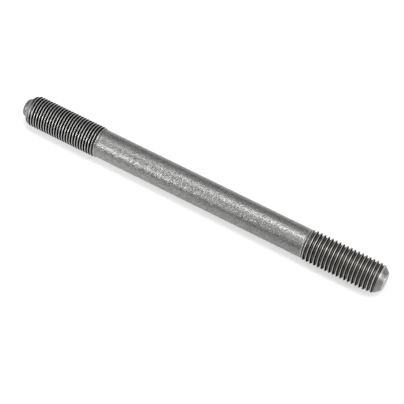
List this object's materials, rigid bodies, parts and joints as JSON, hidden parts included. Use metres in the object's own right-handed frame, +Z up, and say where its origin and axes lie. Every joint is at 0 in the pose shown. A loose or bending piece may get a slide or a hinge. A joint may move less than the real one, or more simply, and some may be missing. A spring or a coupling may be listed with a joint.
{
  "type": "cylinder head stud",
  "caption": "Turned steel cylinder head stud: plain shank, a fine-threaded nut end with a short tapered point, and a coarser-threaded block end with a chamfered flat face.",
  "frame": {"origin": "on the surface the stud lies on, below the middle of its length", "axes": "+X along the stud towards the block end, +Z up from the surface it lies on"},
  "size_m": [0.1272, 0.01, 0.01],
  "materials": {
    "steel": "satin grey bare steel, fine grain along the shank, dark thread roots and brighter crests"
  },
  "bodies": {
    "root": {"stud": "steel"}
  },
  "joints": []
}
